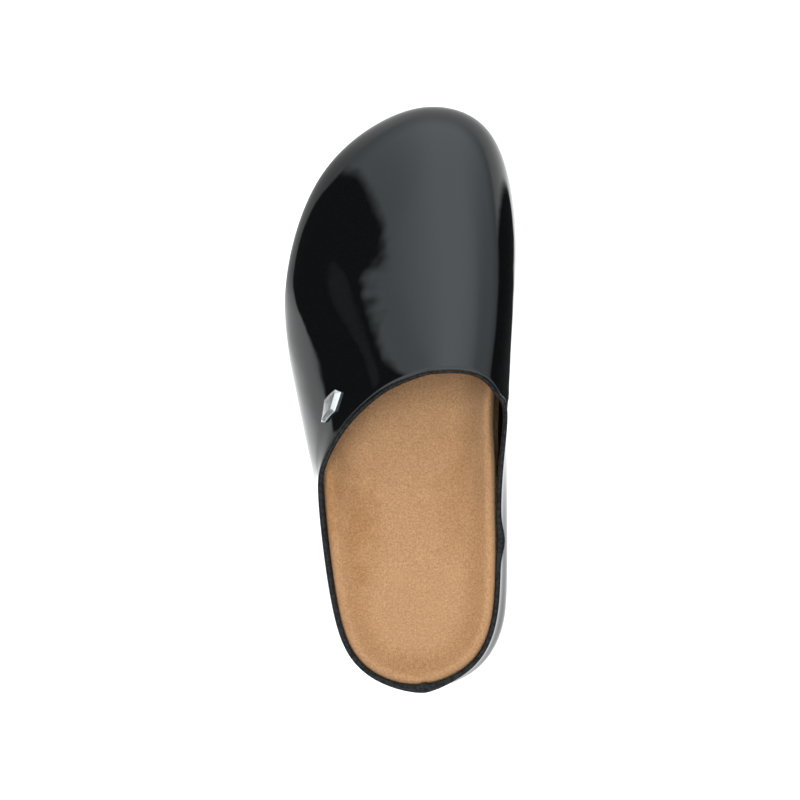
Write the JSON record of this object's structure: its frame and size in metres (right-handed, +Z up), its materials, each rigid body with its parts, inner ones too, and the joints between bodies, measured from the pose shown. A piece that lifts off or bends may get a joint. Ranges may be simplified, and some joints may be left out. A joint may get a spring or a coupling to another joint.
{
  "type": "slipper",
  "caption": "Closed-toe slip-on mule for the left foot: glossy black shell with a slanted throat, low heel wall, bound collar, contoured tan footbed, low rubber sole and a plain side stud.",
  "frame": {"origin": "on the floor under the middle of the slipper's overall box", "axes": "+Y to the toe, +X to the inner side of the left foot, +Z up"},
  "size_m": [0.1067, 0.2673, 0.0768],
  "materials": {
    "sole_rubber": "matt moulded",
    "patent_leather": "patent gloss",
    "suede": "napped suede",
    "binding_leather": "satin",
    "polished_steel": "polished"
  },
  "bodies": {
    "root": {"outsole": "sole_rubber", "upper": "patent_leather", "insole": "suede", "collar_binding": "binding_leather", "stud": "polished_steel"}
  },
  "joints": []
}
